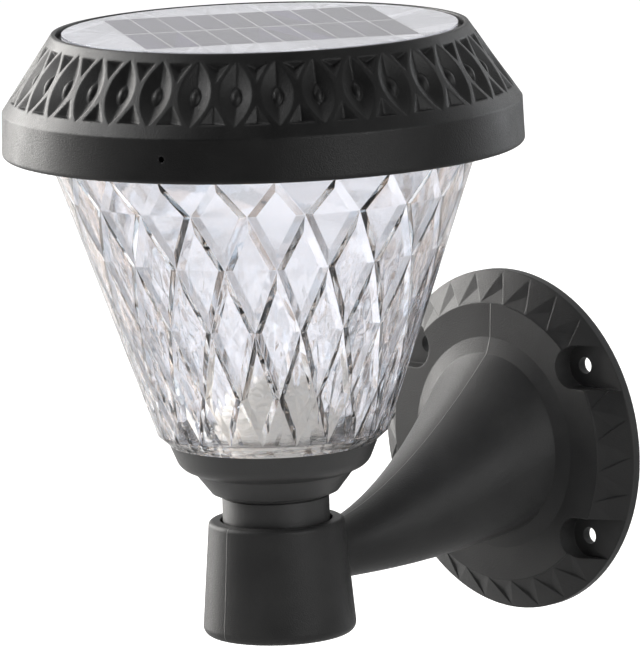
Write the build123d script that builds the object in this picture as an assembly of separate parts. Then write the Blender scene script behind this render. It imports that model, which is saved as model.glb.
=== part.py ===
from build123d import *
import os
from math import cos, sin, pi, sqrt, hypot

# Solar wall light: wall bracket, twist-off lantern head and clear prism shade.
# Millimetres, +Z up. The wall is the plane Y = 0 and the lamp stands out along -Y.
# The origin is the centre of the wall plate's back face.

# wall plate
PLATE_R = 57.0              # outer radius of the round plate
PLATE_RIM = 3.0             # thickness at the rim
FACET_W = 10.3              # width of the faceted ring
FACET_RISE = 6.2            # how far the faceted ring climbs towards the arm
RING_W = 11.3               # smooth ring inside it
RING_RISE = 1.0
ROOT_W = 5.2                # the arm's root band
ROOT_RISE = 1.8
FACET_COUNT = 28            # facets round the plate
FACET_PIT = 0.85            # depth of each three-sided facet pit
FACET_LEAN = 0.18           # a pit's deepest place, in facet steps off its middle
FACET_LAND = 0.6            # plain edge outside the pits
FACET_LIP = 0.3             # step up from the facets to the smooth ring
BRACKET_WALL = 2.6          # wall of the hollow bracket moulding
ROOT_LIP = 3.9              # from the arm's root in to the opening behind it

# wall screws
SCREW_DX = 72.4             # screw spacing across
SCREW_DZ = 57.0             # screw spacing up
SCREW_HOLE_R = 2.8          # hole for a 5 mm wall screw
POCKET_R = 7.0              # half width of a screw pocket

# arm
ARM_END_R = 8.9             # arm radius inside the socket wall
ARM_END_DROP = 24.4         # how far the arm's end hangs below the plate centre
ARM_FLARE = 1.5             # power of the trumpet flare
ARM_SWEEP = 1.8             # power of the downward sweep
ARM_STATIONS = 9            # sections through the arm
AXIS_OUT = 111.0            # lamp axis in front of the wall

# socket
SOCKET_TOP_Z = -9.5         # top face of the socket
SOCKET_H = 37.4             # height of the socket
SOCKET_TOP_R = 21.9
SOCKET_BOTTOM_R = 25.0
SOCKET_TOP_ROUND = 1.6
SOCKET_BOTTOM_ROUND = 3.0
SOCKET_FLOOR = 3.0
SOCKET_GAP = 0.9            # open gap round the neck
SOCKET_MOUTH = 14.0         # depth of the wide part of the socket
DRAIN_R = 3.0               # drain hole in the socket floor

# neck spigot
NECK_R = 17.3               # neck seen above the socket
SPIGOT_R = 15.8             # guided foot of the spigot
SPIGOT_WALL = 2.2
SPIGOT_LEN = 42.2           # from the socket floor to the joint line under the cup
PLUG_R = 14.2               # plug that enters the cup
PLUG_H = 4.5
PLUG_TOP = 3.2              # thickness of the plug's top
JOINT_CHAMFER = 0.3         # fine joint line between neck and cup
TURN_FIT = 0.06             # radial running clearance of turning and sliding fits
FIT = 0.1                   # radial clearance between fixed pieces

# base cup
CUP_H = 18.0                # joint line to the cup's top edge
CUP_TOP_R = 33.7
CUP_FLOOR = 2.8
CUP_LEDGE = 5.8             # depth of the mouth that takes the shade's foot
CUP_SIDE_H = 5.6            # straight side of the upper tier
CUP_SIDE_IN = 2.3           # how far that side leans in
CUP_TIER_H = 8.8            # height of the upper tier
CUP_TIER_IN = 3.3           # its rounded corner
CUP_SIDE_ROUND = 6.0
CUP_STEP_IN = 2.4           # step between the tiers
CUP_STEP_DROP = 1.1
CUP_FOOT_H = 0.6            # plain foot above the joint line
CUP_KNEE_H = 0.9            # where the lower tier turns in to the neck
CUP_KNEE_OUT = 3.3
CUP_KNEE_ROUND = 8.0
CUP_LEDGE_W = 6.4           # ledge that carries the shade's foot

# shade
FLANGE_H = 3.2              # chamfered foot above the cup
SHADE_H = 92.0              # straight cone up to the cap's lower edge
FOOT_FLARE = 3.6            # how far the foot's chamfer stands out of the cup
SHADE_TOP_R = 69.0
SHADE_WALL = 1.3            # wall left at the grooves
PRISM_H = 1.25              # height of the prisms inside the wall
PRISM_FLAT = 0.68           # size of a prism's flat against its rhombus
PRISM_COUNT = 22            # prisms round the shade
PRISM_BANDS = (12.0, 18.0, 21.0, 23.0, 16.0)   # heights of the bands between groove crossings, as shares
PRISM_MARGIN = 0.9          # plain strip above and below the prisms
COLLAR_IN = 5.3             # foot collar inside the cup's top edge
COLLAR_WALL = 2.6
RIM_H = 6.0                 # shade rim inside the cap
RIM_WALL = 2.6
GASKET_T = 1.0

# reflector in the shade's foot
REFLECTOR_PLAY = 1.0
REFLECTOR_WALL = 1.6
REFLECTOR_H = 27.0
REFLECTOR_RIM = 3.8
REFLECTOR_TIP_R = 10.5
REFLECTOR_RIDGES = 10       # level ridges up its side
RIDGE_H = 0.7

# bayonet between head and shade
LUG_COUNT = 3
LUG_ANGLE = 16.0            # width of a lug and of its hook, in degrees
LUG_REACH = 3.0
LUG_T = 2.0
HOOK_T = 1.8
HOOK_GAP = 0.35             # play between lug and hook
HOOK_LIFT = 1.0             # hook above the cap's lower edge
BAYONET_GAP = 0.6           # radial play
STOP_ANGLE = 3.0
STOP_PLAY = 0.3             # degrees between lug and stop
BAYONET_WALL = 2.2

# cap
CAP_H = 38.5                # lower edge to the rim round the panel
SKIRT_OVERHANG = 14.6       # how far the skirt stands outside the shade's top
SKIRT_H = 14.1              # edge where the slope begins
SKIRT_ROUND = 1.2
SKIRT_DRAFT = 0.4           # the skirt leans in by this much at its top
SKIRT_WALL = 2.4
SLOPE_RUN = 16.6            # how far the slope climbs inwards
CAP_WALL = 3.4
RIM_LIP = 1.3               # width of the rim round the panel
VENT_R = 0.95               # small hole in the skirt
VENT_Z = 7.8
VENT_AZIMUTH = 23.9         # from the front, towards +X
RELIEF_COUNT = 36           # eye motifs round the slope
RELIEF_LEN = 22.8           # length of a motif along the slope
RELIEF_DEPTH = 2.4
RELIEF_W = 11.0             # width that a motif would have on a flat face
RELIEF_DROP = 14.0          # from the slope's top edge to the middle of the motifs
PIT_DEPTH = 1.7             # three-sided pits above and below the motifs
PIT_NEAR = 3.8              # a pit's point, from the middle of the motifs
PIT_DEEP = 9.4              # its deepest place
PIT_FAR = 10.6              # its base
PIT_HALF_W = 4.1
BOSS_LEN = 7.4              # pointed boss in the middle of each motif
BOSS_R = 1.8

# solar panel
PANEL_GAP = 2.0             # dark gap between the panel and the rim
PANEL_TAPE_T = 0.9
PANEL_TAPE_W = 4.0
PANEL_BOARD_T = 1.2
PANEL_COVER_T = 0.7
CELL_T = 0.2
CELL_COLUMNS = 10
ARRAY_ASPECT = 1.1          # width of the cell array over its depth
ARRAY_MARGIN = 3.836        # from the array's corners to the panel's edge
CELL_GAP = 0.7
ARRAY_TURN = 57.0           # turn of the cell array about the lamp axis

# head tray
TRAY_T = 2.5
TRAY_PLAY = 0.4
TRAY_SEAL_IN = 0.8          # seal ring inside the tray's edge
TRAY_SEAL_W = 3.2
SEAL_RIB_IN = 0.4           # rib narrower than the seal on each side
TRAY_SEAL_T = 1.2
TRAY_SCREW_SET = 1.2        # tray screws outside the panel's opening
TRAY_SCREW_COUNT = 3
TRAY_SCREW_TURN = 90.0
BOSS_WALL = 2.0

# screws: shank radius, length, head radius, head height
TRAY_SCREW = (1.5, 11.0, 3.0, 2.0)
NECK_SCREW = (2.0, 14.0, 4.0, 2.6)
BOARD_SCREW = (1.1, 6.0, 2.1, 1.5)
SCREW_PLAY = 0.1
SLOT_W = 0.8                # cross recess in the screw heads
SLOT_MARGIN = 0.8           # from the recess to the head's edge

# cell and its holder
CELL_R = 7.1
CELL_LEN = 49.0
NUB_R = 2.7
NUB_H = 1.2
HOLDER_X = -22.0
HOLDER_WALL = 1.6
HOLDER_H = 11.0
CONTACT_T = 0.4
CONTACT_W = 9.0
CONTACT_TAB = 3.0
LEAF_H = 3.0                # height of the bent leaf on the minus contact
LEAF_CREST = 2.8
LEAF_SPAN = 10.0
LEAF_W = 4.5

# control board
BOARD_X = 40.0
BOARD_W = 30.0
BOARD_D = 38.0
BOARD_T = 1.6
BOARD_LIFT = 8.0
BOARD_INSET = 3.5
POST_R = 2.8
POST_TOP = 2.2              # closed end above a blind screw hole
CHIP = (5.0, 4.0, 1.5)
CHIP_AT = (39.0, -3.5)
INDUCTOR_R = 4.0
INDUCTOR_H = 6.0
INDUCTOR_AT = (38.5, 10.5)
CAPACITOR_R = 3.1
CAPACITOR_H = 8.0
CAPACITOR_AT = (47.5, -11.0)

# push button and switch
BUTTON_AT = (45.0, 3.5)
BUTTON_R = 4.0
BUTTON_DROP = 3.0           # how far the button stands below the tray
BUTTON_FLANGE_R = 5.4
BUTTON_FLANGE_T = 1.0
BUTTON_CHAMFER = 0.5
BUTTON_TRAVEL = 1.4
SWITCH_W = 8.6
SWITCH_GAP = 0.2            # play left at full travel
STEM_R = 1.4
STEM_LEN = 3.8

# light board
LIGHT_BOARD_R = 14.0
LIGHT_BOARD_T = 1.6
LIGHT_COUNT = 6
LIGHT_CIRCLE = 6.0
LIGHT_SIZE = 3.0
LIGHT_H = 0.9
LIGHT_SCREW_OUT = 11.0
WIRE_HOLE_R = 3.0

# leads
LEAD_R = 0.6
LEAD_BEND = 5.0
LEAD_RISE = 7.8             # highest leads above the cell's contacts
LEAD_STEP = 3.0             # between one level of leads and the next
PAD_X = 28.0                # row of solder pads on the control board
CELL_PAD_Y = (-9.0, 2.0)
LIGHT_PAD_Y = (-5.5, -2.0)
LIGHT_LEAD_Y = (-1.2, 1.2)
PANEL_PAD_X = 31.5
PANEL_PAD_Y = (6.0, 9.0)
PANEL_LEAD_X = 8.0          # where the panel leads meet the panel

# cutters
CUT = 1.0                   # how far a cutter stands past the face it opens
SEAM_TURN = 135.0           # where turned faces close, away from the front
PIT_REACH = 1.6             # how far a pit's cutter runs on past the surface

# heights up the lamp axis, each carried by the piece below it
SOCKET_BOTTOM_Z = SOCKET_TOP_Z - SOCKET_H
SEAT_Z = SOCKET_BOTTOM_Z + SOCKET_FLOOR
JOINT_Z = SEAT_Z + SPIGOT_LEN
CUP_Z = JOINT_Z + CUP_H
CONE_Z = CUP_Z + FLANGE_H
CAP_Z = CONE_Z + SHADE_H
TRAY_Z = CAP_Z + RIM_H
TRAY_TOP_Z = TRAY_Z + TRAY_T
LEDGE_Z = CUP_Z - CUP_LEDGE
PLUG_Z = JOINT_Z + PLUG_H
CUP_FLOOR_Z = PLUG_Z + CUP_FLOOR
RIM_Z = CAP_Z + CAP_H
PANEL_Z = RIM_Z - PANEL_TAPE_T - PANEL_BOARD_T - PANEL_COVER_T
BOARD_Z = TRAY_TOP_Z + BOARD_LIFT
BOARD_TOP_Z = BOARD_Z + BOARD_T

# radii, each from the piece that carries it
COLLAR_R = CUP_TOP_R - COLLAR_IN
SHADE_FOOT_R = CUP_TOP_R + FOOT_FLARE
SKIRT_R = SHADE_TOP_R + SKIRT_OVERHANG
SLOPE_TOP_R = SKIRT_R - SKIRT_DRAFT - SLOPE_RUN
SLOPE_DZ = CAP_H - SKIRT_H
SLOPE_LEN = hypot(SLOPE_RUN, SLOPE_DZ)
PANEL_SEAT_R = SLOPE_TOP_R - RIM_LIP
PANEL_R = PANEL_SEAT_R - PANEL_GAP
SEAT_IN_R = PANEL_R - PANEL_TAPE_W
ARRAY_D = 2 * (PANEL_R - ARRAY_MARGIN) / hypot(1, ARRAY_ASPECT)
ARRAY_W = ARRAY_D * ARRAY_ASPECT
TRAY_SCREW_CIRCLE = SEAT_IN_R + TRAY_SCREW_SET
TRAY_R = SKIRT_R - SKIRT_DRAFT - SKIRT_WALL - TRAY_PLAY
SEAL_OUT_R = TRAY_R - TRAY_SEAL_IN
SEAL_IN_R = SEAL_OUT_R - TRAY_SEAL_W
HOOK_R = SHADE_TOP_R + BAYONET_GAP
BAYONET_R = HOOK_R + LUG_REACH

# the cell's bay
HOLDER_IN_LEN = CELL_LEN + 2 * CONTACT_T + LEAF_H
HOLDER_IN_W = 2 * (CELL_R + FIT)
HOLDER_FLOOR_Z = TRAY_TOP_Z + HOLDER_WALL
CONTACT_TOP_Z = TRAY_TOP_Z + HOLDER_H + CONTACT_TAB
LEAD_Z = CONTACT_TOP_Z + LEAD_RISE

# the wall plate's rings, from the rim in, and their heights out from the wall
FACET_IN_R = PLATE_R - FACET_W
ROOT_R = FACET_IN_R - RING_W
ARM_ROOT_R = ROOT_R - ROOT_W
ROOT_MOUTH_R = ARM_ROOT_R - ROOT_LIP
FACET_TOP = PLATE_RIM + FACET_RISE
RING_LOW = FACET_TOP + FACET_LIP
RING_TOP = FACET_TOP + RING_RISE
ROOT_TOP = RING_TOP + ROOT_RISE
FACET_SLOPE = FACET_RISE / FACET_W

LOW = (Align.CENTER, Align.CENTER, Align.MIN)


def disc(radius, z0, z1):
    return Pos(0, 0, z0) * Cylinder(radius, z1 - z0, align=LOW)


def ring(outer, inner, z0, z1):
    return disc(outer, z0, z1) - disc(inner, z0, z1)


def sector(outer, inner, z0, z1, start, width):
    # a stretch of a ring, width in degrees
    face = make_face(Polyline((inner, z0), (outer, z0), (outer, z1), (inner, z1), close=True))
    return Rot(0, 0, start) * revolve(Plane.XZ * face, Axis.Z, width)


def lathe(*edges):
    # a closed outline of (radius, height) edges turned about Z
    return Rot(0, 0, SEAM_TURN) * revolve(Plane.XZ * make_face(list(edges)), Axis.Z)


def turned(*points):
    return lathe(*Polyline(*points, close=True).edges())


def polyhedron(faces):
    return Solid(Shell([Face(Wire.make_polygon(points)) for points in faces]))


def pit(tip, outline):
    # a pyramid that opens outwards from its deep tip through three surface points
    tip = Vector(*tip)
    out = [tip + (Vector(*point) - tip) * PIT_REACH for point in outline]
    sides = [(tip, out[i], out[(i + 1) % len(out)]) for i in range(len(out))]
    return polyhedron(sides + [tuple(out)])


def screw(size):
    # shank up from Z = 0, head below it
    shank, length, head, height = size
    body = disc(shank, 0, length) + disc(head, -height, 0)
    slot = Pos(0, 0, -height) * Box(2 * (head - SLOT_MARGIN), SLOT_W, height)
    return body - slot - Rot(0, 0, 90) * slot


def lead(*points):
    path = FilletPolyline(*points, radius=LEAD_BEND)
    return sweep(Plane(path @ 0, z_dir=path % 0) * Circle(LEAD_R), path)


def around(count, turn=0.0):
    return [turn + 360.0 * i / count for i in range(count)]


# wall bracket

def arm_section(i, shrink):
    # circle number i, from the plate to the inside of the socket's wall
    end_y = -AXIS_OUT + NECK_R + SOCKET_GAP + BRACKET_WALL / 2
    s = 1 - i / (ARM_STATIONS - 1)
    radius = ARM_END_R + (ARM_ROOT_R - ARM_END_R) * s ** ARM_FLARE - shrink
    y = end_y - (ROOT_TOP + end_y) * s
    z = -ARM_END_DROP * (1 - s ** ARM_SWEEP)
    return Plane((0, y, z), x_dir=(1, 0, 0), z_dir=(0, -1, 0)) * Circle(radius)


def arm_body():
    return loft([arm_section(i, 0) for i in range(ARM_STATIONS)])


def arm_hollow():
    return loft([arm_section(i, BRACKET_WALL) for i in range(ARM_STATIONS - 1)])


def plate_body():
    # the faceted cone, and the smooth ring and root that stand a little proud of it
    cone = turned((0, 0), (PLATE_R, 0), (PLATE_R, PLATE_RIM), (FACET_IN_R, FACET_TOP), (0, FACET_TOP))
    middle = turned((0, 0), (FACET_IN_R, 0), (FACET_IN_R, RING_LOW), (ROOT_R, RING_TOP),
                    (ARM_ROOT_R, ROOT_TOP), (0, ROOT_TOP))
    return Rot(90, 0, 0) * cone - facet_pits() + Rot(90, 0, 0) * middle


def plate_hollow():
    # the space behind the plate, one wall inside its front
    wall = BRACKET_WALL
    outer = PLATE_R - wall
    outer_top = PLATE_RIM + FACET_SLOPE * wall - wall * sqrt(1 + FACET_SLOPE ** 2)
    outline = [(0, -CUT), (outer, -CUT), (outer, outer_top), (FACET_IN_R - wall, FACET_TOP - wall)]
    outline += [(ROOT_R - wall, RING_TOP - wall), (ROOT_MOUTH_R, RING_TOP - wall)]
    outline += [(ROOT_MOUTH_R, ROOT_TOP + wall), (0, ROOT_TOP + wall)]
    return Rot(90, 0, 0) * turned(*outline)


def facet_pits():
    # three-sided pits that point to the rim, with flat triangles left between them
    step = 2 * pi / FACET_COUNT
    outer, inner = PLATE_R - FACET_LAND, FACET_IN_R

    def at(radius, steps, depth=0.0):
        # a point on the faceted ring, or below it, counted round from the top
        angle = pi / 2 + steps * step
        height = FACET_TOP - FACET_SLOPE * (radius - FACET_IN_R) - depth
        return (radius * cos(angle), -height, radius * sin(angle))

    pits = []
    for i in range(FACET_COUNT):
        corners = [at(outer, i), at(inner, i - 0.5), at(inner, i + 0.5)]
        pits.append(pit(at((outer + inner) / 2, i - FACET_LEAN, FACET_PIT), corners))
    return pits


def screw_places():
    return [(sx * SCREW_DX / 2, sz * SCREW_DZ / 2, sx) for sx in (-1, 1) for sz in (-1, 1)]


def pocket(x, z, side, radius, y0, y1):
    # a U that opens sideways to the rim, between depths y0 and y1
    flat = Circle(radius) + Pos(side * PLATE_R / 2, 0) * Rectangle(PLATE_R, 2 * radius)
    place = Plane((x, -y0, z), x_dir=(1, 0, 0), z_dir=(0, -1, 0))
    return place * extrude(flat, y1 - y0)


def socket_body():
    top, bottom = SOCKET_TOP_Z, SOCKET_BOTTOM_Z
    body = turned((0, bottom), (SOCKET_BOTTOM_R, bottom), (SOCKET_TOP_R, top), (0, top))
    rims = body.edges().filter_by(GeomType.CIRCLE).sort_by(Axis.Z)
    body = fillet(rims[0], SOCKET_BOTTOM_ROUND)
    rims = body.edges().filter_by(GeomType.CIRCLE).sort_by(Axis.Z)
    return fillet(rims[-1], SOCKET_TOP_ROUND)


def make_wall_bracket():
    lamp = Pos(0, -AXIS_OUT, 0)
    body = plate_body() + arm_body() + lamp * socket_body()
    hollow = plate_hollow() + arm_hollow()
    for x, z, side in screw_places():
        hollow -= pocket(x, z, side, POCKET_R + BRACKET_WALL, -2 * CUT, ROOT_TOP)
    body -= hollow
    for x, z, side in screw_places():
        body -= pocket(x, z, side, POCKET_R, PLATE_RIM, ROOT_TOP + CUT)
        body -= Pos(x, 0, z) * Rot(90, 0, 0) * Cylinder(SCREW_HOLE_R, 2 * (PLATE_RIM + CUT))
    bore = disc(SPIGOT_R + TURN_FIT, SEAT_Z, SOCKET_TOP_Z)
    bore += disc(NECK_R + SOCKET_GAP, SOCKET_TOP_Z - SOCKET_MOUTH, SOCKET_TOP_Z + CUT)
    bore += disc(DRAIN_R, SOCKET_BOTTOM_Z - CUT, SEAT_Z)
    return body - lamp * bore


# neck and cup

def make_neck_spigot():
    step_z = SOCKET_TOP_Z - SOCKET_MOUTH + SOCKET_GAP
    body = disc(SPIGOT_R, SEAT_Z, JOINT_Z) + disc(PLUG_R, JOINT_Z, PLUG_Z)
    neck = turned((0, step_z), (NECK_R, step_z), (NECK_R, JOINT_Z - JOINT_CHAMFER),
                  (NECK_R - JOINT_CHAMFER, JOINT_Z), (0, JOINT_Z))
    inner = disc(SPIGOT_R - SPIGOT_WALL, SEAT_Z - CUT, JOINT_Z - SPIGOT_WALL)
    inner += disc(PLUG_R - SPIGOT_WALL, JOINT_Z - 2 * SPIGOT_WALL, PLUG_Z - PLUG_TOP)
    shank, length = NECK_SCREW[:2]
    boss = disc(shank + BOSS_WALL, PLUG_Z - length, PLUG_Z)
    return body + neck - inner + boss - disc(shank + SCREW_PLAY, PLUG_Z - length - CUT, PLUG_Z + CUT)


def make_base_cup():
    tier_z = CUP_Z - CUP_TIER_H
    neck_z = JOINT_Z + CUP_FOOT_H
    side_z = CUP_Z - CUP_SIDE_H
    side_r = CUP_TOP_R - CUP_SIDE_IN
    tier_r = side_r - CUP_TIER_IN
    chamfer = JOINT_CHAMFER
    outline = Polyline((0, CUP_Z), (0, JOINT_Z), (NECK_R - chamfer, JOINT_Z), (NECK_R, JOINT_Z + chamfer),
                       (NECK_R, neck_z)).edges()
    knee = (NECK_R + CUP_KNEE_OUT, neck_z + CUP_KNEE_H)
    outline.append(RadiusArc((NECK_R, neck_z), knee, -CUP_KNEE_ROUND))
    outline += Polyline(knee, (tier_r - CUP_STEP_IN, tier_z - CUP_STEP_DROP), (tier_r, tier_z)).edges()
    outline.append(RadiusArc((tier_r, tier_z), (side_r, side_z), -CUP_SIDE_ROUND))
    outline += Polyline((side_r, side_z), (CUP_TOP_R, CUP_Z), (0, CUP_Z)).edges()
    body = lathe(*outline)
    body -= disc(COLLAR_R + FIT, LEDGE_Z, CUP_Z + CUT) + disc(COLLAR_R - CUP_LEDGE_W, CUP_FLOOR_Z, CUP_Z)
    body -= disc(PLUG_R + FIT, JOINT_Z - CUT, PLUG_Z)
    return body - disc(NECK_SCREW[0] + SCREW_PLAY, JOINT_Z, CUP_Z)


def make_neck_screw():
    return Pos(0, 0, CUP_FLOOR_Z) * Rot(180, 0, 0) * screw(NECK_SCREW)


def make_foot_gasket():
    return ring(COLLAR_R, COLLAR_R - COLLAR_WALL, LEDGE_Z, LEDGE_Z + GASKET_T)


def make_reflector():
    wall = REFLECTOR_WALL
    rim_r = COLLAR_R - COLLAR_WALL - REFLECTOR_PLAY
    foot_r = rim_r - REFLECTOR_RIM
    tip_r, foot_z, tip_z = REFLECTOR_TIP_R, LEDGE_Z + wall, LEDGE_Z + REFLECTOR_H
    outline = [(rim_r, LEDGE_Z), (rim_r, foot_z), (foot_r, foot_z)]
    for i in range(1, 2 * REFLECTOR_RIDGES):
        along = i / (2 * REFLECTOR_RIDGES)
        out = RIDGE_H * (i % 2)
        outline.append((foot_r + (tip_r - foot_r) * along + out, foot_z + (tip_z - foot_z) * along))
    outline += [(tip_r, tip_z), (0, tip_z), (0, tip_z - wall), (tip_r - wall, tip_z - wall)]
    return turned(*outline, (foot_r - wall, LEDGE_Z))


# shade

def shade_radius(z):
    return SHADE_FOOT_R + (SHADE_TOP_R - SHADE_FOOT_R) * (z - CONE_Z) / SHADE_H


def prism_core():
    # the faceted core that shapes the inside of the shade: a groove lattice with raised flats between
    top, bottom = CAP_Z - PRISM_MARGIN, CONE_Z + PRISM_MARGIN
    levels = [top]
    for band in PRISM_BANDS:
        levels.append(levels[-1] - band * (top - bottom) / sum(PRISM_BANDS))
    step = 2 * pi / PRISM_COUNT
    lean = (SHADE_TOP_R - SHADE_FOOT_R) / SHADE_H

    def node(row, half_steps):
        z = levels[row]
        radius = shade_radius(z) - SHADE_WALL
        angle = half_steps * step / 2
        return Vector(radius * cos(angle), radius * sin(angle), z)

    faces = []
    last = len(levels) - 1
    for row in range(last + 1):
        for i in range(PRISM_COUNT):
            k = 2 * i + row % 2
            left, right = node(row, k - 1), node(row, k + 1)
            if row == 0:
                faces.append((left, node(1, k), right))
            elif row == last:
                faces.append((left, right, node(row - 1, k)))
            else:
                corners = [node(row - 1, k), left, node(row + 1, k), right]
                middle = (corners[0] + corners[1] + corners[2] + corners[3]) * 0.25
                angle = k * step / 2
                inward = Vector(-cos(angle), -sin(angle), lean).normalized()
                flat = [middle + inward * PRISM_H + (c - middle) * PRISM_FLAT for c in corners]
                for a in range(4):
                    b = (a + 1) % 4
                    faces.append((corners[a], corners[b], flat[b], flat[a]))
                faces.append((flat[0], flat[1], flat[3]))
                faces.append((flat[2], flat[3], flat[1]))
    faces.append(tuple(node(0, 2 * i - 1) for i in range(PRISM_COUNT)))
    faces.append(tuple(node(last, 2 * i + last % 2 - 1) for i in range(PRISM_COUNT)))
    return polyhedron(faces)


def make_shade():
    foot_z = LEDGE_Z + GASKET_T
    body = turned((0, foot_z), (COLLAR_R, foot_z), (COLLAR_R, CUP_Z), (CUP_TOP_R, CUP_Z),
                  (SHADE_FOOT_R, CONE_Z), (SHADE_TOP_R, CAP_Z), (SHADE_TOP_R, TRAY_Z), (0, TRAY_Z))
    body -= prism_core()
    body -= disc(SHADE_TOP_R - RIM_WALL, CAP_Z - PRISM_MARGIN, TRAY_Z + CUT)
    body -= disc(COLLAR_R - COLLAR_WALL, foot_z - CUT, CONE_Z + PRISM_MARGIN)
    lug_z = CAP_Z + HOOK_LIFT + HOOK_T + HOOK_GAP
    reach, root = SHADE_TOP_R + LUG_REACH, SHADE_TOP_R - RIM_WALL / 2
    for angle in around(LUG_COUNT):
        body += sector(reach, root, lug_z, lug_z + LUG_T, angle - LUG_ANGLE / 2, LUG_ANGLE)
    return body


# head: cap and solar panel

def slope_inside_z(radius):
    # height of the slope's inner face at a radius
    along = (radius + CAP_WALL * SLOPE_DZ / SLOPE_LEN - SLOPE_TOP_R) / SLOPE_RUN
    return RIM_Z - SLOPE_DZ * along - CAP_WALL * SLOPE_RUN / SLOPE_LEN


def slope_inside_r(z):
    along = (RIM_Z - CAP_WALL * SLOPE_RUN / SLOPE_LEN - z) / SLOPE_DZ
    return SLOPE_TOP_R + SLOPE_RUN * along - CAP_WALL * SLOPE_DZ / SLOPE_LEN


def slope_plane():
    # on the slope at +X, in the middle of the motifs: x runs down the slope and z points out of it
    radius = SLOPE_TOP_R + SLOPE_RUN * RELIEF_DROP / SLOPE_LEN
    height = RIM_Z - SLOPE_DZ * RELIEF_DROP / SLOPE_LEN
    return Plane((radius, 0, height), x_dir=(SLOPE_RUN, 0, -SLOPE_DZ), z_dir=(SLOPE_DZ, 0, SLOPE_RUN))


def eye_cutter():
    # a wheel with a V edge leaves a pointed eye with a crease; the boss is left standing in its middle
    half = RELIEF_LEN / 2
    wheel_r = (half ** 2 + RELIEF_DEPTH ** 2) / (2 * RELIEF_DEPTH)
    side = RELIEF_W / 2
    flank_r = wheel_r - RELIEF_DEPTH
    profile = Polyline((0, -side), (flank_r, -side), (wheel_r, 0), (flank_r, side), (0, side), close=True)
    wheel = Pos(0, 0, wheel_r - RELIEF_DEPTH) * revolve(make_face(profile), Axis.Y)
    bow = ThreePointArc((-BOSS_LEN / 2, 0), (0, BOSS_R), (BOSS_LEN / 2, 0))
    boss = revolve(make_face([bow, Line(bow @ 1, bow @ 0)]), Axis.X)
    return slope_plane() * (wheel - Pos(0, 0, -RELIEF_DEPTH) * boss)


def slope_pit(side):
    # a three-sided pit between two motifs, above them (-1) or below them (1)
    plane = slope_plane()
    spread = 1 + side * PIT_FAR * SLOPE_RUN / SLOPE_LEN / plane.origin.X
    near, deep, far = (side * x for x in (PIT_NEAR, PIT_DEEP, PIT_FAR))
    half = PIT_HALF_W * spread
    return plane * pit((deep, 0, -PIT_DEPTH), [(near, 0, 0), (far, -half, 0), (far, half, 0)])


def make_cap_shell():
    skirt_in = SKIRT_R - SKIRT_DRAFT - SKIRT_WALL
    under_z = PANEL_Z - CAP_WALL
    low, knee_z = CAP_Z + SKIRT_ROUND, CAP_Z + SKIRT_H
    edge = RadiusArc((SKIRT_R - SKIRT_ROUND, CAP_Z), (SKIRT_R, low), -SKIRT_ROUND)
    outline = Polyline((SKIRT_R, low), (SKIRT_R - SKIRT_DRAFT, knee_z), (SLOPE_TOP_R, RIM_Z),
                       (PANEL_SEAT_R, RIM_Z), (PANEL_SEAT_R, PANEL_Z), (SEAT_IN_R, PANEL_Z),
                       (SEAT_IN_R, under_z), (slope_inside_r(under_z), under_z),
                       (skirt_in, slope_inside_z(skirt_in)), (skirt_in, CAP_Z),
                       (SKIRT_R - SKIRT_ROUND, CAP_Z))
    body = lathe(edge, *outline.edges())
    rib_out, rib_in = SEAL_OUT_R - SEAL_RIB_IN, SEAL_IN_R + SEAL_RIB_IN
    body += ring(rib_out, rib_in, TRAY_TOP_Z + TRAY_SEAL_T, slope_inside_z(rib_out) + CAP_WALL / 2)
    shank, length = TRAY_SCREW[:2]
    for angle in around(TRAY_SCREW_COUNT, TRAY_SCREW_TURN):
        place = Rot(0, 0, angle) * Pos(TRAY_SCREW_CIRCLE, 0, 0)
        body += place * disc(shank + BOSS_WALL, TRAY_TOP_Z, PANEL_Z - CAP_WALL / 2)
        body -= place * disc(shank + SCREW_PLAY, TRAY_TOP_Z - CUT, TRAY_Z + length + CUT)
    vent = Pos(0, 0, CAP_Z + VENT_Z) * Rot(0, 0, VENT_AZIMUTH - 90) * Rot(0, 90, 0)
    body -= vent * Cylinder(VENT_R, 2 * (SKIRT_R + CUT))
    eye, above, below = eye_cutter(), slope_pit(-1), slope_pit(1)
    half_turn = Rot(0, 0, 180.0 / RELIEF_COUNT)
    cutters = []
    for angle in around(RELIEF_COUNT):
        turn = Rot(0, 0, angle)
        cutters += [turn * eye, turn * half_turn * above, turn * half_turn * below]
    return body - cutters


def make_panel_tape():
    return ring(PANEL_R, SEAT_IN_R, PANEL_Z, PANEL_Z + PANEL_TAPE_T)


def panel_face_z():
    return PANEL_Z + PANEL_TAPE_T + PANEL_BOARD_T


def make_panel_board():
    return disc(PANEL_R, PANEL_Z + PANEL_TAPE_T, panel_face_z())


def cell_row(row):
    # one row of cell strips; row is 0 or 1
    pitch, depth = ARRAY_W / CELL_COLUMNS, ARRAY_D / 2
    strip = Box(pitch - CELL_GAP, depth - CELL_GAP, CELL_T, align=LOW)
    y = (row - 0.5) * depth
    turn = Pos(0, 0, panel_face_z()) * Rot(0, 0, ARRAY_TURN)
    return [turn * Pos((i + 0.5) * pitch - ARRAY_W / 2, y, 0) * strip for i in range(CELL_COLUMNS)]


def make_panel_cover():
    return disc(PANEL_R, panel_face_z(), RIM_Z) - cell_row(0) - cell_row(1)


# head: tray

def board_corners():
    across, along = BOARD_W / 2 - BOARD_INSET, BOARD_D / 2 - BOARD_INSET
    return [(BOARD_X + sx * across, sy * along) for sx in (-1, 1) for sy in (-1, 1)]


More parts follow.
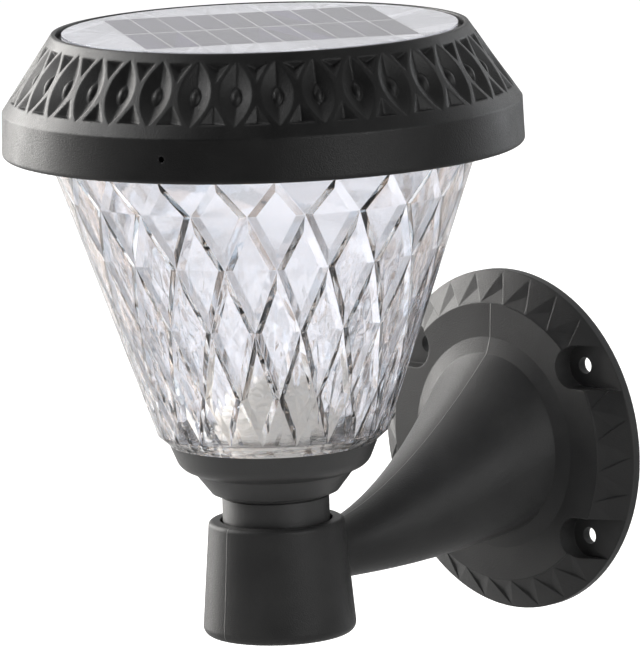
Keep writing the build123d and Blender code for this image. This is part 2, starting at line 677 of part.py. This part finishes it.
def make_head_tray():
    body = disc(TRAY_R, TRAY_Z, TRAY_TOP_Z)
    body += ring(BAYONET_R + BAYONET_WALL, BAYONET_R, CAP_Z + HOOK_LIFT, TRAY_Z)
    hook_z = CAP_Z + HOOK_LIFT
    grip = BAYONET_R + BAYONET_WALL / 2
    for angle in around(LUG_COUNT):
        half = LUG_ANGLE / 2
        body += sector(grip, HOOK_R, hook_z, hook_z + HOOK_T, angle - half, LUG_ANGLE)
        body += sector(grip, HOOK_R, hook_z, TRAY_Z, angle + half + STOP_PLAY, STOP_ANGLE)
    for x, y in board_corners():
        body += Pos(x, y, 0) * disc(POST_R, TRAY_TOP_Z, BOARD_Z)
    shank, length = BOARD_SCREW[:2]
    for x, y in board_corners()[:2]:
        body -= Pos(x, y, 0) * disc(shank + SCREW_PLAY, BOARD_TOP_Z - length - CUT, BOARD_Z + CUT)
    for side in (-1, 1):
        place = Pos(0, side * LIGHT_SCREW_OUT, 0)
        top = TRAY_Z - LIGHT_BOARD_T + length
        body += place * disc(POST_R, TRAY_TOP_Z, top + POST_TOP)
        body -= place * disc(shank + SCREW_PLAY, TRAY_Z - CUT, top)
    body -= disc(WIRE_HOLE_R, TRAY_Z - CUT, TRAY_TOP_Z + CUT)
    body -= Pos(*BUTTON_AT, 0) * disc(BUTTON_R + TURN_FIT, TRAY_Z - CUT, TRAY_TOP_Z + CUT)
    for angle in around(TRAY_SCREW_COUNT, TRAY_SCREW_TURN):
        hole = disc(TRAY_SCREW[0] + SCREW_PLAY, TRAY_Z - CUT, TRAY_TOP_Z + CUT)
        body -= Rot(0, 0, angle) * Pos(TRAY_SCREW_CIRCLE, 0, 0) * hole
    return body


def make_tray_seal():
    return ring(SEAL_OUT_R, SEAL_IN_R, TRAY_TOP_Z, TRAY_TOP_Z + TRAY_SEAL_T)


def make_tray_screw(index):
    angle = around(TRAY_SCREW_COUNT, TRAY_SCREW_TURN)[index]
    return Rot(0, 0, angle) * Pos(TRAY_SCREW_CIRCLE, 0, TRAY_Z) * screw(TRAY_SCREW)


# head: cell and holder

def make_cell_holder():
    outer = Box(HOLDER_IN_W + 2 * HOLDER_WALL, HOLDER_IN_LEN + 2 * HOLDER_WALL, HOLDER_H, align=LOW)
    inner = Pos(0, 0, HOLDER_WALL) * Box(HOLDER_IN_W, HOLDER_IN_LEN, HOLDER_H, align=LOW)
    return Pos(HOLDER_X, 0, TRAY_TOP_Z) * (outer - inner)


def make_cell():
    plus_y = HOLDER_IN_LEN / 2 - CONTACT_T
    place = Pos(HOLDER_X, plus_y, HOLDER_FLOOR_Z + CELL_R) * Rot(90, 0, 0)
    return place * (disc(NUB_R, 0, NUB_H) + disc(CELL_R, NUB_H, CELL_LEN))


def contact_plate(side):
    y = side * (HOLDER_IN_LEN - CONTACT_T) / 2
    height = CONTACT_TOP_Z - HOLDER_FLOOR_Z
    return Pos(HOLDER_X, y, HOLDER_FLOOR_Z) * Box(CONTACT_W, CONTACT_T, height, align=LOW)


def make_contact_minus():
    # a bent leaf on the plate presses on the cell's flat end
    base = -HOLDER_IN_LEN / 2 + CONTACT_T
    middle = HOLDER_FLOOR_Z + CELL_R
    crest, foot = LEAF_CREST / 2, LEAF_SPAN / 2
    outer = [(base, middle - foot), (base + LEAF_H, middle - crest), (base + LEAF_H, middle + crest)]
    outer.append((base, middle + foot))
    under, inside = base + LEAF_H - CONTACT_T, foot - 2 * CONTACT_T
    inner = [(base, middle + inside), (under, middle + crest - CONTACT_T)]
    inner += [(under, middle - crest + CONTACT_T), (base, middle - inside)]
    face = Plane.YZ.offset(HOLDER_X - LEAF_W / 2) * make_face(Polyline(*outer, *inner, close=True))
    return contact_plate(-1) + extrude(face, LEAF_W)


# head: boards, switch and lights

def make_control_board():
    board = Pos(BOARD_X, 0, BOARD_Z) * Box(BOARD_W, BOARD_D, BOARD_T, align=LOW)
    for x, y in board_corners()[:2]:
        board -= Pos(x, y, 0) * disc(BOARD_SCREW[0] + SCREW_PLAY, BOARD_Z - CUT, BOARD_TOP_Z + CUT)
    return board


def make_board_screw(index):
    x, y = board_corners()[index]
    return Pos(x, y, BOARD_TOP_Z) * Rot(180, 0, 0) * screw(BOARD_SCREW)


def make_switch():
    low = TRAY_TOP_Z + BUTTON_FLANGE_T + BUTTON_TRAVEL + SWITCH_GAP
    body = Pos(0, 0, low) * Box(SWITCH_W, SWITCH_W, BOARD_Z - low, align=LOW)
    body -= disc(STEM_R + TURN_FIT, low - CUT, low + STEM_LEN)
    return Pos(*BUTTON_AT, 0) * body


def make_button():
    flange_top = TRAY_TOP_Z + BUTTON_FLANGE_T
    body = disc(BUTTON_R, TRAY_Z - BUTTON_DROP, TRAY_TOP_Z)
    body = chamfer(body.edges().filter_by(GeomType.CIRCLE).sort_by(Axis.Z)[0], BUTTON_CHAMFER)
    body += disc(BUTTON_FLANGE_R, TRAY_TOP_Z, flange_top) + disc(STEM_R, flange_top, flange_top + STEM_LEN)
    return Pos(*BUTTON_AT, 0) * body


def make_light_board():
    board = disc(LIGHT_BOARD_R, TRAY_Z - LIGHT_BOARD_T, TRAY_Z)
    for side in (-1, 1):
        hole = disc(BOARD_SCREW[0] + SCREW_PLAY, TRAY_Z - LIGHT_BOARD_T - CUT, TRAY_Z + CUT)
        board -= Pos(0, side * LIGHT_SCREW_OUT, 0) * hole
    return board


def make_light(index):
    low = TRAY_Z - LIGHT_BOARD_T - LIGHT_H
    place = Rot(0, 0, around(LIGHT_COUNT)[index]) * Pos(LIGHT_CIRCLE, 0, low)
    return place * Box(LIGHT_SIZE, LIGHT_SIZE, LIGHT_H, align=LOW)


def make_light_screw(index):
    return Pos(0, (2 * index - 1) * LIGHT_SCREW_OUT, TRAY_Z - LIGHT_BOARD_T) * screw(BOARD_SCREW)


def on_board(shape, place):
    return Pos(*place, BOARD_TOP_Z) * shape


# head: leads, each up from its first end, across at one level and down or up to its other end

def level_lead(start, end, level):
    return lead(start, (start[0], start[1], level), (end[0], end[1], level), end)


def make_cell_lead(index):
    y = (2 * index - 1) * (HOLDER_IN_LEN - CONTACT_T) / 2
    return level_lead((HOLDER_X, y, CONTACT_TOP_Z), (PAD_X, CELL_PAD_Y[index], BOARD_TOP_Z), LEAD_Z)


def make_light_lead(index):
    end = (PAD_X, LIGHT_PAD_Y[index], BOARD_TOP_Z)
    return level_lead((0, LIGHT_LEAD_Y[index], TRAY_Z), end, LEAD_Z - LEAD_STEP)


def make_panel_lead(index):
    y = PANEL_PAD_Y[index]
    end = (PANEL_LEAD_X, y, PANEL_Z + PANEL_TAPE_T)
    return level_lead((PANEL_PAD_X, y, BOARD_TOP_Z), end, LEAD_Z - 2 * LEAD_STEP)


def build_parts():
    lamp = {
        "neck_spigot": make_neck_spigot(),
        "base_cup": make_base_cup(),
        "neck_screw": make_neck_screw(),
        "foot_gasket": make_foot_gasket(),
        "reflector": make_reflector(),
        "shade": make_shade(),
        "cap_shell": make_cap_shell(),
        "panel_tape": make_panel_tape(),
        "panel_board": make_panel_board(),
        "panel_cover": make_panel_cover(),
        "head_tray": make_head_tray(),
        "tray_seal": make_tray_seal(),
        "cell_holder": make_cell_holder(),
        "cell": make_cell(),
        "contact_plus": contact_plate(1),
        "contact_minus": make_contact_minus(),
        "control_board": make_control_board(),
        "control_chip": on_board(Box(*CHIP, align=LOW), CHIP_AT),
        "inductor": on_board(Cylinder(INDUCTOR_R, INDUCTOR_H, align=LOW), INDUCTOR_AT),
        "capacitor": on_board(Cylinder(CAPACITOR_R, CAPACITOR_H, align=LOW), CAPACITOR_AT),
        "switch_body": make_switch(),
        "power_button": make_button(),
        "light_board": make_light_board(),
    }
    for i in range(2):
        lamp[f"solar_cells_{i + 1}"] = Compound(cell_row(i))
        lamp[f"board_screw_{i + 1}"] = make_board_screw(i)
        lamp[f"light_screw_{i + 1}"] = make_light_screw(i)
        lamp[f"cell_lead_{i + 1}"] = make_cell_lead(i)
        lamp[f"light_lead_{i + 1}"] = make_light_lead(i)
        lamp[f"panel_lead_{i + 1}"] = make_panel_lead(i)
    for i in range(TRAY_SCREW_COUNT):
        lamp[f"tray_screw_{i + 1}"] = make_tray_screw(i)
    for i in range(LIGHT_COUNT):
        lamp[f"light_{i + 1}"] = make_light(i)
    parts = {name: Pos(0, -AXIS_OUT, 0) * shape for name, shape in lamp.items()}
    parts["wall_bracket"] = make_wall_bracket()
    return parts


os.makedirs("parts", exist_ok=True)
for name, shape in build_parts().items():
    export_step(shape, f"parts/{name}.step")
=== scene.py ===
import math
import bpy
import bmesh
from mathutils import Matrix, Vector

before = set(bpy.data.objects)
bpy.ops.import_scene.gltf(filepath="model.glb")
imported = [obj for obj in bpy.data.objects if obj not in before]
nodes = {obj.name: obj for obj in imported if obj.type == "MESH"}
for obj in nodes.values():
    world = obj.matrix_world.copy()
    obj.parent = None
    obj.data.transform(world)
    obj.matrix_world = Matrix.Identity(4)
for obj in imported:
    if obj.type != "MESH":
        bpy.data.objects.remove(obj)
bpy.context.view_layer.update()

# Solar wall light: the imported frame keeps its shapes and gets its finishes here. All lengths are in metres.
scene = bpy.context.scene
scene.view_settings.view_transform = "Standard"

# places on the light
AXIS = Vector((0.0, -0.111, 0.0))       # the lamp's axis in front of the wall
MIDDLE = AXIS + Vector((0, 0, 0.06))    # the lantern's middle, which the studio stands round
SEAM_END = 0.0467                       # the bracket's parting line, a ridge with a painted highlight, stops at the faceted ring,
SEAM_FRONT = -0.03                      # and below the plate's middle it shows only in front of this
ARRAY_TURN = math.radians(57.0)         # turn of the solar cells about the lamp's axis
BUS_BAR = 0.0011                        # half width of the silver bar between the two cell rows
FINGER_STEP = 0.0009                    # half the step from one silver finger to the next
FINGER_EDGE = (0.00003, 0.00012)        # distances from its middle between which a finger fades out

# grain of the finishes, in grains per metre, and its depth
CLOUD = 55.0                            # faint patches on the mouldings
GRAIN, GRAIN_DEPTH = 2000.0, 0.00011    # fine texture of the mouldings
GRAINS_TO_PATCH = 14.0                  # patches of the other finishes
GLOSS_PATCH = 90.0                      # places where the clear pieces are less polished
RIPPLE, RIPPLE_DEPTH = 140.0, 0.00005   # faint waves in the clear pieces
CUT_GRAIN = 220.0                       # fine cuts in the shade's foot, round the wall
CUT_STRETCH = 0.22                      # and how much fewer they are up the wall
CUT_FADE = (0.03, 0.09)                 # heights between which they fade out


# node helpers

def plug(tree, socket, value):
    # puts a value, or another node's output, into a socket
    if isinstance(value, bpy.types.NodeSocket):
        tree.links.new(value, socket)
    else:
        socket.default_value = value


def maths(tree, operation, *values):
    made = tree.nodes.new("ShaderNodeMath")
    made.operation = operation
    for index, value in enumerate(values):
        plug(tree, made.inputs[index], value)
    return made.outputs[0]


class Finish:
    """A material under construction: its nodes, its links and its Principled shader."""

    def __init__(self, name, colour, roughness, **sockets):
        self.material = bpy.data.materials.new(name)
        self.material.use_nodes = True
        self.tree = self.material.node_tree
        self.shader = self.tree.nodes["Principled BSDF"]
        self.set(self.shader, **{"Base Color": (*colour, 1.0), "Roughness": roughness}, **sockets)
        self.place = self.add("ShaderNodeTexCoord").outputs["Object"]

    def set(self, node, **sockets):
        for socket, value in sockets.items():
            plug(self.tree, node.inputs[socket], value)

    def add(self, kind, settings=None, **sockets):
        node = self.tree.nodes.new(kind)
        for key, value in (settings or {}).items():
            setattr(node, key, value)
        self.set(node, **sockets)
        return node

    def moved(self, centre, turn):
        # object coordinates about another centre, turned about Z
        shift = self.add("ShaderNodeVectorMath", {"operation": "SUBTRACT"})
        plug(self.tree, shift.inputs[0], self.place)
        plug(self.tree, shift.inputs[1], centre)
        return self.add("ShaderNodeMapping", Vector=shift.outputs[0], Rotation=(0, 0, -turn)).outputs[0]

    def noise(self, scale, detail=2.0, roughness=0.5):
        made = self.add("ShaderNodeTexNoise", Vector=self.place, Scale=scale, Detail=detail, Roughness=roughness)
        return made.outputs["Fac"]

    def ramp(self, source, low, high, start=0.0, end=1.0):
        made = self.add("ShaderNodeMapRange", Value=source)
        self.set(made, **{"From Min": start, "From Max": end, "To Min": low, "To Max": high})
        return made.outputs["Result"]

    def mix(self, amount, first, second):
        made = self.add("ShaderNodeMix", {"data_type": "RGBA"}, Factor=amount)
        for index, colour in ((6, first), (7, second)):
            given = isinstance(colour, bpy.types.NodeSocket)
            plug(self.tree, made.inputs[index], colour if given else (*colour, 1.0))
        return made.outputs[2]

    def math(self, operation, *values):
        return maths(self.tree, operation, *values)

    def axis(self, name, place=None):
        return self.add("ShaderNodeSeparateXYZ", Vector=place or self.place).outputs[name]

    def blend(self, first, second):
        return self.math("ADD", self.math("MULTIPLY", first, 0.5), self.math("MULTIPLY", second, 0.5))

    def bump(self, height, depth, strength, normal):
        made = self.add("ShaderNodeBump", Height=height, Distance=depth, Strength=strength, Normal=normal)
        return made.outputs["Normal"]

    def rounded(self, radius):
        return self.add("ShaderNodeBevel", {"samples": 6}, Radius=radius).outputs["Normal"]

    def either(self, amount, first, second):
        both = self.add("ShaderNodeMixShader", Fac=amount)
        plug(self.tree, both.inputs[1], first)
        plug(self.tree, both.inputs[2], second)
        return both.outputs[0]

    def lets_lamps_through(self, surface):
        # light from the lamps passes straight on, so that what lies behind the clear wall is lit
        path = self.add("ShaderNodeLightPath")
        clear = self.add("ShaderNodeBsdfTransparent", Color=(0.97, 0.97, 0.98, 1.0))
        both = self.either(path.outputs["Is Shadow Ray"], surface, clear.outputs[0])
        self.set(self.tree.nodes["Material Output"], Surface=both)

    def on(self, *names):
        for name in names:
            slots = nodes[name].data.materials
            slots.clear()
            slots.append(self.material)


# finishes

def moulded_plastic(name, dark, pale, roughness, edge, seam=0.0, shine=0.5):
    # fine-grained satin moulding with faint cloudy patches; seam is the half width of a parting line in the
    # plane X = 0, bumped as a ridge and painted paler as a highlight along it
    made = Finish(name, dark, roughness, **{"Specular IOR Level": shine})
    cloud = made.noise(CLOUD, 4.0)
    grain = made.noise(GRAIN, 2.0, 0.6)
    tone = made.mix(made.ramp(cloud, 0.0, 1.0, 0.35, 0.7), dark, pale)
    sheen = made.ramp(made.blend(cloud, grain), roughness - 0.09, roughness + 0.09, 0.35, 0.65)
    normal = made.bump(grain, GRAIN_DEPTH, 0.8, made.rounded(edge))
    if seam:
        seam_ridge_and_highlight = made.ramp(made.math("ABSOLUTE", made.axis("X")), 1.0, 0.0, 0.0, seam)
        inside = made.math("LESS_THAN", made.axis("Z"), SEAM_END)
        shown = made.math("MAXIMUM", made.math("GREATER_THAN", made.axis("Z"), 0.0),
                          made.math("LESS_THAN", made.axis("Y"), SEAM_FRONT))
        seam_ridge_and_highlight = made.math("MULTIPLY", seam_ridge_and_highlight, made.math("MULTIPLY", inside, shown))
        # painted highlight: the parting line's colour is raised to three times the pale tone
        tone = made.mix(seam_ridge_and_highlight, tone, [3.0 * t for t in pale])
        normal = made.bump(seam_ridge_and_highlight, seam, 0.6, normal)
    made.set(made.shader, **{"Base Color": tone, "Roughness": sheen, "Normal": normal})
    return made


def worked(name, dark, pale, roughness, scale, depth, **sockets):
    # a plain finish with its own grain: scale in grains per metre, depth in metres
    made = Finish(name, dark, roughness, **sockets)
    grain = made.noise(scale, 3.0, 0.55)
    patch = made.noise(scale / GRAINS_TO_PATCH, 3.0)
    tone = made.mix(made.ramp(made.blend(patch, grain), 0.0, 1.0, 0.35, 0.65), dark, pale)
    sheen = made.ramp(patch, roughness - 0.07, roughness + 0.07, 0.3, 0.7)
    normal = made.bump(grain, depth, 0.6, made.rounded(0.0002))
    made.set(made.shader, **{"Base Color": tone, "Roughness": sheen, "Normal": normal})
    return made


def clear_plastic(name, red_end, blue_end, low_ior, high_ior, edge, haze=0.0, cuts=0.0):
    # polished plastic with softened edges and a faint ripple; the light's red and blue ends bend a little apart;
    # haze is its least roughness, and cuts the depth of fine upright cuts, which fade out up the wall
    made = Finish(name, red_end, 0.0, **{"Transmission Weight": 1.0, "IOR": low_ior})
    blue = made.add("ShaderNodeBsdfPrincipled", IOR=high_ior)
    made.set(blue, **{"Base Color": (*blue_end, 1.0), "Transmission Weight": 1.0})
    gloss = made.ramp(made.noise(GLOSS_PATCH, 3.0), haze, haze + 0.03, 0.45, 0.75)
    ripple = made.bump(made.noise(RIPPLE), RIPPLE_DEPTH, 0.5, made.rounded(edge))
    if cuts:
        tall = made.add("ShaderNodeMapping", Vector=made.place, Scale=(1.0, 1.0, CUT_STRETCH))
        cell = made.add("ShaderNodeTexVoronoi", Vector=tall.outputs[0], Scale=CUT_GRAIN).outputs["Distance"]
        fade = made.ramp(made.axis("Z"), 1.0, 0.0, *CUT_FADE)
        ripple = made.bump(made.math("MULTIPLY", cell, fade), cuts, 1.0, ripple)
    for shader in (made.shader, blue):
        made.set(shader, Roughness=gloss, Normal=ripple)
    made.lets_lamps_through(made.either(0.5, made.shader.outputs[0], blue.outputs[0]))
    return made


def solar_cells(name):
    # violet-grey silicon with fine silver fingers along each strip and a bus bar where the two rows meet
    made = worked(name, (0.045, 0.030, 0.11), (0.065, 0.046, 0.15), 0.6, 900.0, 0.00002,
                  **{"Specular IOR Level": 0.0})
    array = made.moved(AXIS, ARRAY_TURN)
    finger = made.ramp(made.math("PINGPONG", made.axis("Y", array), FINGER_STEP), 0.4, 0.0, *FINGER_EDGE)
    bar = made.math("LESS_THAN", made.math("ABSOLUTE", made.axis("Y", array)), BUS_BAR)
    tone = made.shader.inputs["Base Color"].links[0].from_socket
    silver = made.mix(made.math("MAXIMUM", finger, bar), tone, (0.55, 0.55, 0.58))
    made.set(made.shader, **{"Base Color": silver})
    return made


moulded_plastic("cap_black", (0.0035, 0.0035, 0.0037), (0.0065, 0.0065, 0.0065), 0.46, 0.0010,
                shine=0.36).on("cap_shell")
moulded_plastic("bracket_charcoal", (0.026, 0.026, 0.0262), (0.034, 0.034, 0.0338), 0.45, 0.0006,
                seam=0.0003, shine=0.20).on("wall_bracket")
moulded_plastic("cup_charcoal", (0.028, 0.028, 0.0282), (0.037, 0.037, 0.0368), 0.44,
                0.0002).on("base_cup", "neck_spigot")
moulded_plastic("tray_moulding", (0.020, 0.020, 0.022), (0.028, 0.028, 0.030), 0.45,
                0.0003).on("head_tray", "cell_holder", "switch_body")
moulded_plastic("button_moulding", (0.04, 0.04, 0.045), (0.055, 0.055, 0.06), 0.4, 0.0003).on("power_button")

clear_plastic("clear_shade", (0.98, 0.775, 0.645), (0.585, 0.78, 1.0), 1.41, 1.585, 0.0003,
              cuts=0.0010).on("shade")
clear_plastic("clear_cover", (1.0, 0.98, 0.98), (0.98, 0.98, 1.0), 1.35, 1.35, 0.0002,
              haze=0.12).on("panel_cover")

solar_cells("silicon_cells").on("solar_cells_1", "solar_cells_2")
worked("white_board", (0.70, 0.71, 0.74), (0.76, 0.77, 0.80), 0.5, 900.0, 0.00002,
       **{"Specular IOR Level": 0.1}).on("panel_board", "light_board")
worked("reflector_white", (0.92, 0.87, 0.77), (0.95, 0.92, 0.85), 0.2, 600.0, 0.00003,
       **{"Subsurface Weight": 0.4, "Subsurface Scale": 0.006,
          "Subsurface Radius": (1.0, 1.0, 1.0)}).on("reflector")
worked("seal_rubber", (0.012, 0.012, 0.012), (0.024, 0.024, 0.023), 0.8, 1500.0, 0.00008).on(
    "foot_gasket", "tray_seal", "panel_tape")
worked("cell_sleeve", (0.03, 0.18, 0.08), (0.05, 0.24, 0.11), 0.3, 700.0, 0.00003).on("cell")
worked("circuit_board", (0.008, 0.10, 0.04), (0.014, 0.14, 0.06), 0.35, 1100.0, 0.00004).on("control_board")
worked("chip_black", (0.014, 0.014, 0.015), (0.026, 0.026, 0.026), 0.5, 2400.0, 0.00004).on(
    "control_chip", "inductor")
worked("capacitor_can", (0.08, 0.09, 0.12), (0.12, 0.13, 0.16), 0.3, 900.0, 0.00002).on("capacitor")
worked("emitter_resin", (0.85, 0.66, 0.20), (0.93, 0.76, 0.30), 0.3, 1600.0, 0.00003).on(
    *[f"light_{i + 1}" for i in range(6)])
worked("zinc_screws", (0.50, 0.50, 0.51), (0.60, 0.60, 0.61), 0.32, 1800.0, 0.00003, Metallic=1.0).on(
    *[name for name in nodes if "screw" in name])
worked("nickel_contacts", (0.58, 0.56, 0.51), (0.66, 0.64, 0.59), 0.25, 1500.0, 0.00002, Metallic=1.0).on(
    "contact_plus", "contact_minus")
worked("lead_black", (0.016, 0.016, 0.016), (0.028, 0.028, 0.028), 0.45, 1500.0, 0.00003).on(
    *[f"{use}_lead_1" for use in ("cell", "light", "panel")])
worked("lead_red", (0.38, 0.014, 0.014), (0.48, 0.025, 0.022), 0.45, 1500.0, 0.00003).on(
    *[f"{use}_lead_2" for use in ("cell", "light", "panel")])


# camera at the photograph's place

TURN, TILT, ROLL = math.radians(45.858), math.radians(9.481), math.radians(-1.892)
EYE_ACROSS, EYE_UP, EYE_BACK = -0.0612, -0.0721, 2.3    # the camera's place, by its own directions,
AIM_Z = 0.1115                                          # from this height above the origin
SENSOR = 36.0
FOCAL, PHOTO_SIDE = 6957.0, 648.0       # focal length and longer side of the photograph, in its pixels

back = Vector((math.sin(TURN) * math.cos(TILT), -math.cos(TURN) * math.cos(TILT), math.sin(TILT)))
level = Vector((math.cos(TURN), math.sin(TURN), 0.0))
rise = back.cross(level)
side = level * math.cos(ROLL) + rise * math.sin(ROLL)
top = rise * math.cos(ROLL) - level * math.sin(ROLL)
eye = side * EYE_ACROSS + top * EYE_UP + back * EYE_BACK + Vector((0, 0, AIM_Z))

camera = bpy.data.objects.new("camera", bpy.data.cameras.new("camera"))
camera.data.sensor_width = SENSOR
camera.data.lens = SENSOR * FOCAL / PHOTO_SIDE
camera.data.clip_end = 50.0
camera.matrix_world = Matrix.Translation(eye) @ Matrix((side, top, back)).transposed().to_4x4()
scene.collection.objects.link(camera)
scene.camera = camera


# studio: a white backdrop stands round the far side of the object, and the room on the camera's side is dim

SHEET = (level * -0.15 - back).normalized()     # the backdrop's middle, a little to the left
SHEET_EDGE = (0.85, 0.985, 0.65)        # cosines where it is dim and white, and how bright it is where dim
ROOM_EDGE = (-0.3, 0.5, 0.06)           # the same for the room
ROOM_LIGHT = 0.82                       # brightness of the room's far side, where no clear piece bends the view
FLOOR_Z = -0.2
FLOOR_HALF = 8.0                        # half the floor's width
FLOOR_GLOW = 0.8                        # brightness of its own that makes it white to the camera


def softbox(name, across, up, near, width, height, power, tint=(1.0, 1.0, 1.0)):
    # a lamp placed from the object's middle by the camera's own directions, facing the object
    lamp = bpy.data.lights.new(name, "AREA")
    lamp.shape, lamp.size, lamp.size_y, lamp.energy, lamp.color = "RECTANGLE", width, height, power, tint
    made = bpy.data.objects.new(name, lamp)
    made.location = MIDDLE + level * across + Vector((0, 0, up)) + back * near
    made.rotation_euler = (MIDDLE - made.location).to_track_quat("-Z", "Y").to_euler()
    made.visible_transmission = False
    scene.collection.objects.link(made)


def light_path(tree, ray):
    # 1 for this kind of ray
    return tree.nodes.new("ShaderNodeLightPath").outputs[ray]


def backdrop(tree, direction, toward, start, end, dim):
    # brightness in a direction: white toward the backdrop's middle, dim past its edge
    heading = tree.nodes.new("ShaderNodeVectorMath")
    heading.operation = "DOT_PRODUCT"
    plug(tree, heading.inputs[0], direction)
    plug(tree, heading.inputs[1], toward)
    made = tree.nodes.new("ShaderNodeMapRange")
    made.interpolation_type = "SMOOTHSTEP"
    plug(tree, made.inputs["Value"], heading.outputs["Value"])
    for socket, value in (("From Min", start), ("From Max", end), ("To Min", dim), ("To Max", 1.0)):
        plug(tree, made.inputs[socket], value)
    return made.outputs["Result"]


softbox("left_softbox", -1.7, 0.7, -1.3, 1.4, 1.8, 96.0, (1.0, 0.98, 0.95))
softbox("right_softbox", 1.6, 0.4, -1.3, 0.8, 1.4, 11.0, (0.95, 0.97, 1.0))
softbox("side_softbox", -1.6, 1.2, 0.1, 0.7, 0.7, 18.0)
softbox("top_softbox", -0.2, 1.8, -0.4, 1.2, 1.2, 4.0)
softbox("front_softbox", 1.3, 0.4, 1.4, 1.2, 1.2, 18.5)

world = bpy.data.worlds.new("studio")
scene.world = world
world.use_nodes = True
tree = world.node_tree
sky = tree.nodes["Background"]
plug(tree, sky.inputs["Color"], (1.0, 1.0, 1.0, 1.0))
direction = tree.nodes.new("ShaderNodeTexCoord").outputs["Generated"]
through = tree.nodes.new("ShaderNodeMix")
plug(tree, through.inputs["Factor"], light_path(tree, "Is Transmission Ray"))
plug(tree, through.inputs["A"], ROOM_LIGHT)
plug(tree, through.inputs["B"], backdrop(tree, direction, SHEET, *SHEET_EDGE))
room = backdrop(tree, direction, -back, *ROOM_EDGE)
lit = maths(tree, "MULTIPLY", room, through.outputs["Result"])
plug(tree, sky.inputs["Strength"], maths(tree, "MAXIMUM", light_path(tree, "Is Camera Ray"), lit))

bm = bmesh.new()
bmesh.ops.create_grid(bm, x_segments=1, y_segments=1, size=FLOOR_HALF)
bmesh.ops.translate(bm, verts=bm.verts, vec=(0, 0, FLOOR_Z))
floor_mesh = bpy.data.meshes.new("floor")
bm.to_mesh(floor_mesh)
bm.free()
floor = bpy.data.objects.new("floor", floor_mesh)
scene.collection.objects.link(floor)

# the floor is white to the camera, and through the clear pieces it is as bright as the backdrop above it
pale = bpy.data.materials.new("pale_floor")
pale.use_nodes = True
tree = pale.node_tree
shader = tree.nodes["Principled BSDF"]
plug(tree, shader.inputs["Base Color"], (0.5, 0.5, 0.5, 1.0))
plug(tree, shader.inputs["Roughness"], 0.9)
plug(tree, shader.inputs["Emission Color"], (1.0, 1.0, 1.0, 1.0))
away = tree.nodes.new("ShaderNodeVectorMath")
away.operation = "SUBTRACT"
plug(tree, away.inputs[0], tree.nodes.new("ShaderNodeTexCoord").outputs["Object"])
plug(tree, away.inputs[1], MIDDLE)
unit = tree.nodes.new("ShaderNodeVectorMath")
unit.operation = "NORMALIZE"
plug(tree, unit.inputs[0], away.outputs[0])
sheet = maths(tree, "MULTIPLY", backdrop(tree, unit.outputs[0], SHEET, *SHEET_EDGE),
              backdrop(tree, unit.outputs[0], -back, *ROOM_EDGE))
bent = maths(tree, "MULTIPLY", light_path(tree, "Is Transmission Ray"), sheet)
seen = maths(tree, "MULTIPLY", light_path(tree, "Is Camera Ray"), FLOOR_GLOW)
plug(tree, shader.inputs["Emission Strength"], maths(tree, "MAXIMUM", seen, bent))
floor_mesh.materials.append(pale)
